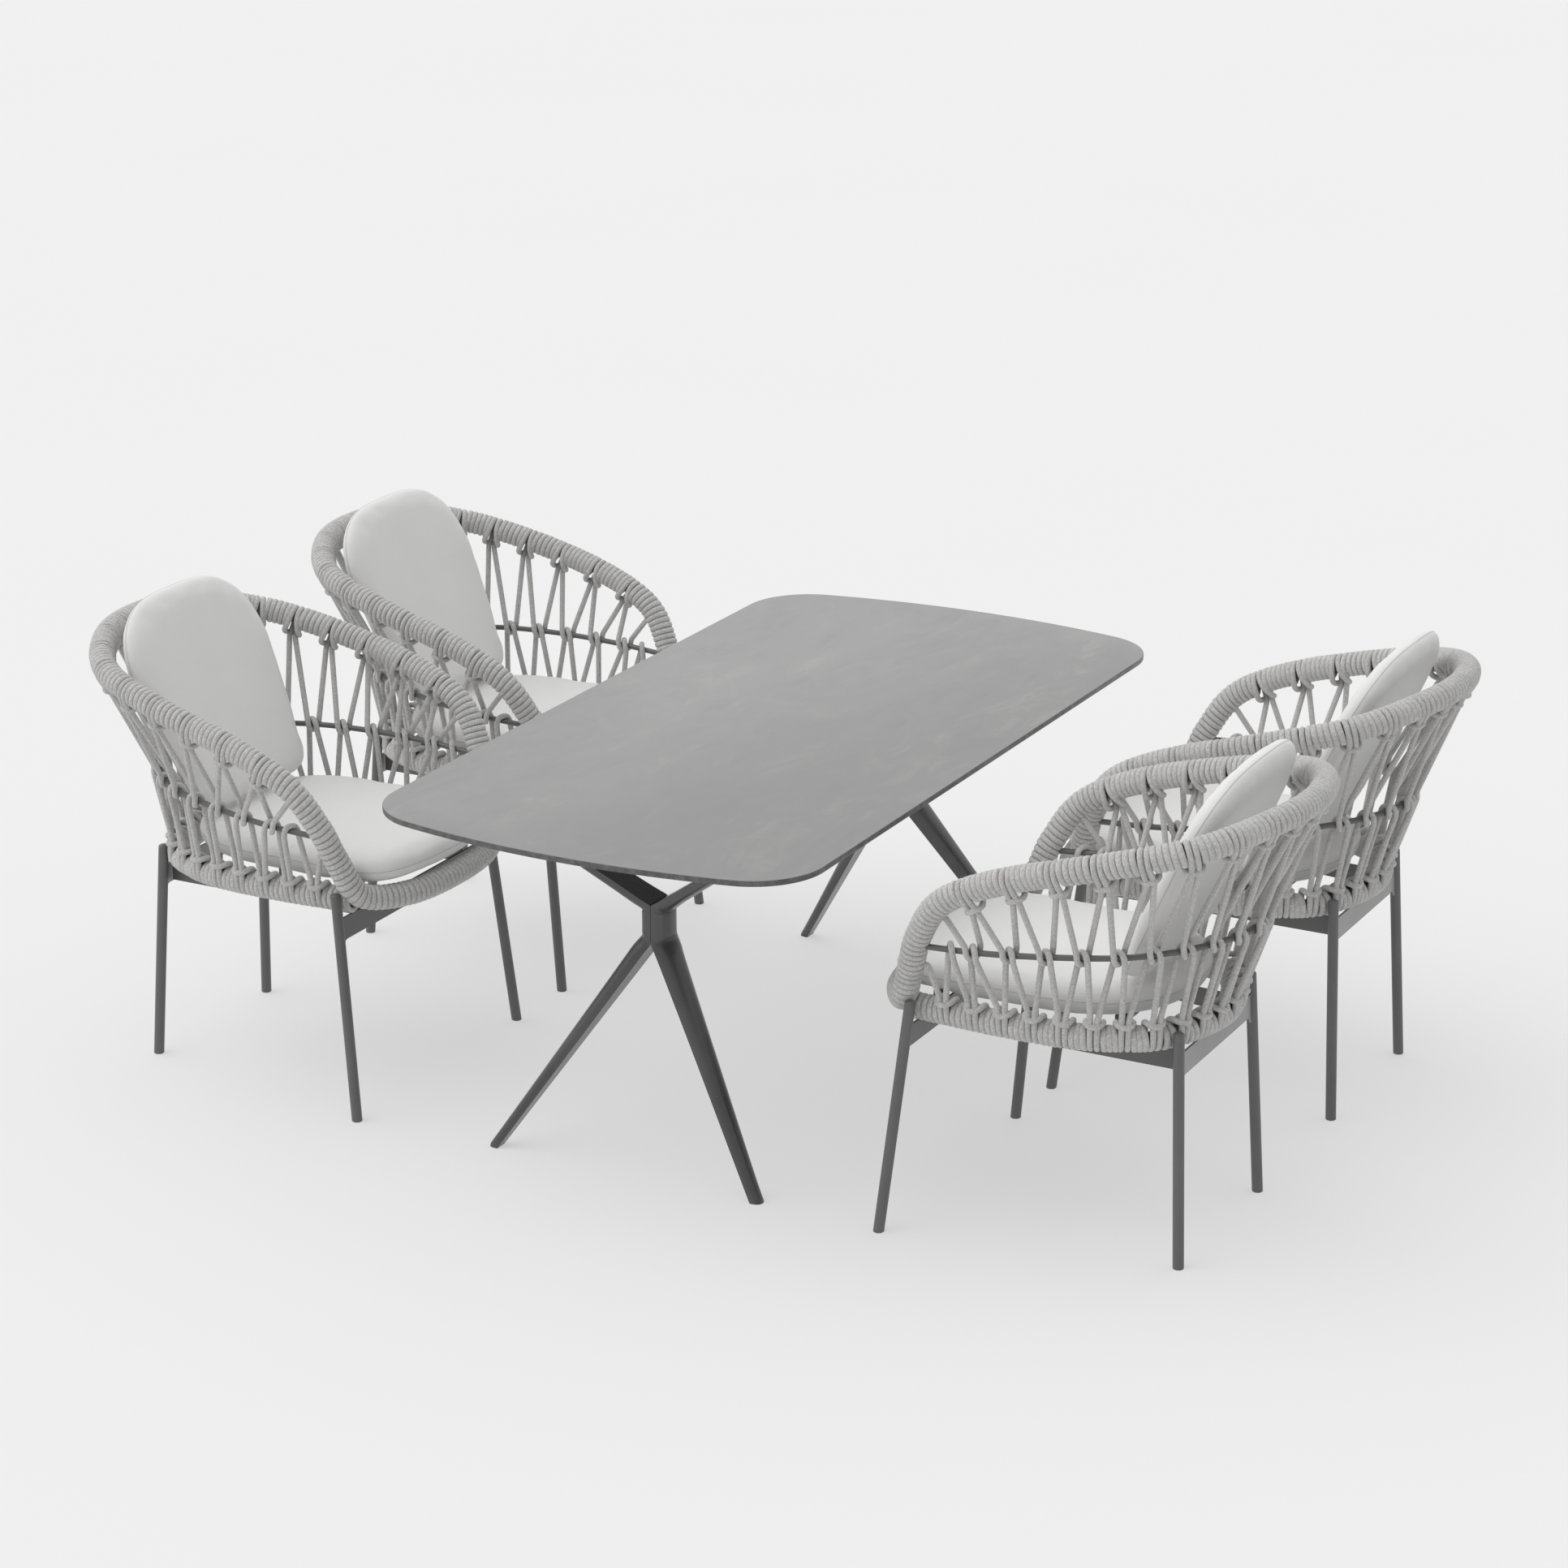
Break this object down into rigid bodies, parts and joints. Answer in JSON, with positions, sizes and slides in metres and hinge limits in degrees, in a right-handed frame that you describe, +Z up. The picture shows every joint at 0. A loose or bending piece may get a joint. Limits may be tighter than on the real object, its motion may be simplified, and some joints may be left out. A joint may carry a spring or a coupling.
{
  "type": "patio dining set",
  "caption": "Patio dining set: a slim stone-topped table on cast X pedestals, and rope-wrapped tub armchairs with a loose seat cushion and back cushion.",
  "frame": {"origin": "on the ground below the middle of the whole set", "axes": "+X along the table's length, +Y across it towards the left-hand chairs, +Z up"},
  "size_m": [1.862, 2.7084, 0.9835],
  "materials": {
    "ceramic_top": "satin",
    "cast_metal": "satin",
    "coated_metal": "satin",
    "rope": "matte",
    "webbing": "matte",
    "cushion_fabric": "matte"
  },
  "bodies": {
    "table": {"table_top": "ceramic_top", "backing_frame": "coated_metal", "near_mounting_plate": "coated_metal", "far_mounting_plate": "coated_metal", "near_pedestal_left": "cast_metal", "near_pedestal_right": "cast_metal", "far_pedestal_left": "cast_metal", "far_pedestal_right": "cast_metal"},
    "chair_1": {"chair_1_hoop_tube": "coated_metal", "chair_1_hoop_wrap": "rope", "chair_1_seat_ring_tube": "coated_metal", "chair_1_seat_ring_wrap": "rope", "chair_1_middle_rail": "coated_metal", "chair_1_upper_lacing": "rope", "chair_1_lower_lacing": "rope", "chair_1_front_leg_frame": "coated_metal", "chair_1_rear_leg_frame": "coated_metal", "chair_1_seat_deck": "coated_metal", "chair_1_seat_webbing": "webbing"},
    "seat_cushion_1": {"chair_1_seat_cushion": "cushion_fabric"},
    "back_cushion_1": {"chair_1_back_cushion": "cushion_fabric"},
    "chair_2": {"chair_2_hoop_tube": "coated_metal", "chair_2_hoop_wrap": "rope", "chair_2_seat_ring_tube": "coated_metal", "chair_2_seat_ring_wrap": "rope", "chair_2_middle_rail": "coated_metal", "chair_2_upper_lacing": "rope", "chair_2_lower_lacing": "rope", "chair_2_front_leg_frame": "coated_metal", "chair_2_rear_leg_frame": "coated_metal", "chair_2_seat_deck": "coated_metal", "chair_2_seat_webbing": "webbing"},
    "seat_cushion_2": {"chair_2_seat_cushion": "cushion_fabric"},
    "back_cushion_2": {"chair_2_back_cushion": "cushion_fabric"},
    "chair_3": {"chair_3_hoop_tube": "coated_metal", "chair_3_hoop_wrap": "rope", "chair_3_seat_ring_tube": "coated_metal", "chair_3_seat_ring_wrap": "rope", "chair_3_middle_rail": "coated_metal", "chair_3_upper_lacing": "rope", "chair_3_lower_lacing": "rope", "chair_3_front_leg_frame": "coated_metal", "chair_3_rear_leg_frame": "coated_metal", "chair_3_seat_deck": "coated_metal", "chair_3_seat_webbing": "webbing"},
    "seat_cushion_3": {"chair_3_seat_cushion": "cushion_fabric"},
    "back_cushion_3": {"chair_3_back_cushion": "cushion_fabric"},
    "chair_4": {"chair_4_hoop_tube": "coated_metal", "chair_4_hoop_wrap": "rope", "chair_4_seat_ring_tube": "coated_metal", "chair_4_seat_ring_wrap": "rope", "chair_4_middle_rail": "coated_metal", "chair_4_upper_lacing": "rope", "chair_4_lower_lacing": "rope", "chair_4_front_leg_frame": "coated_metal", "chair_4_rear_leg_frame": "coated_metal", "chair_4_seat_deck": "coated_metal", "chair_4_seat_webbing": "webbing"},
    "seat_cushion_4": {"chair_4_seat_cushion": "cushion_fabric"},
    "back_cushion_4": {"chair_4_back_cushion": "cushion_fabric"}
  },
  "joints": [
    {"name": "chair_1_slide", "type": "slide", "parent": "table", "child": "chair_1", "axis": [0, 1, 0], "range_m": [-0.24, 0.45]},
    {"name": "seat_cushion_1_lift", "type": "slide", "parent": "chair_1", "child": "seat_cushion_1", "axis": [0, 0, 1], "range_m": [0, 0.12]},
    {"name": "back_cushion_1_lift", "type": "slide", "parent": "seat_cushion_1", "child": "back_cushion_1", "axis": [0, 0, 1], "range_m": [0, 0.15]},
    {"name": "chair_2_slide", "type": "slide", "parent": "table", "child": "chair_2", "axis": [0, 1, 0], "range_m": [-0.24, 0.45]},
    {"name": "seat_cushion_2_lift", "type": "slide", "parent": "chair_2", "child": "seat_cushion_2", "axis": [0, 0, 1], "range_m": [0, 0.12]},
    {"name": "back_cushion_2_lift", "type": "slide", "parent": "seat_cushion_2", "child": "back_cushion_2", "axis": [0, 0, 1], "range_m": [0, 0.15]},
    {"name": "chair_3_slide", "type": "slide", "parent": "table", "child": "chair_3", "axis": [0, -1, 0], "range_m": [-0.2, 0.45]},
    {"name": "seat_cushion_3_lift", "type": "slide", "parent": "chair_3", "child": "seat_cushion_3", "axis": [0, 0, 1], "range_m": [0, 0.12]},
    {"name": "back_cushion_3_lift", "type": "slide", "parent": "seat_cushion_3", "child": "back_cushion_3", "axis": [0, 0, 1], "range_m": [0, 0.15]},
    {"name": "chair_4_slide", "type": "slide", "parent": "table", "child": "chair_4", "axis": [0, -1, 0], "range_m": [-0.2, 0.45]},
    {"name": "seat_cushion_4_lift", "type": "slide", "parent": "chair_4", "child": "seat_cushion_4", "axis": [0, 0, 1], "range_m": [0, 0.12]},
    {"name": "back_cushion_4_lift", "type": "slide", "parent": "seat_cushion_4", "child": "back_cushion_4", "axis": [0, 0, 1], "range_m": [0, 0.15]}
  ]
}
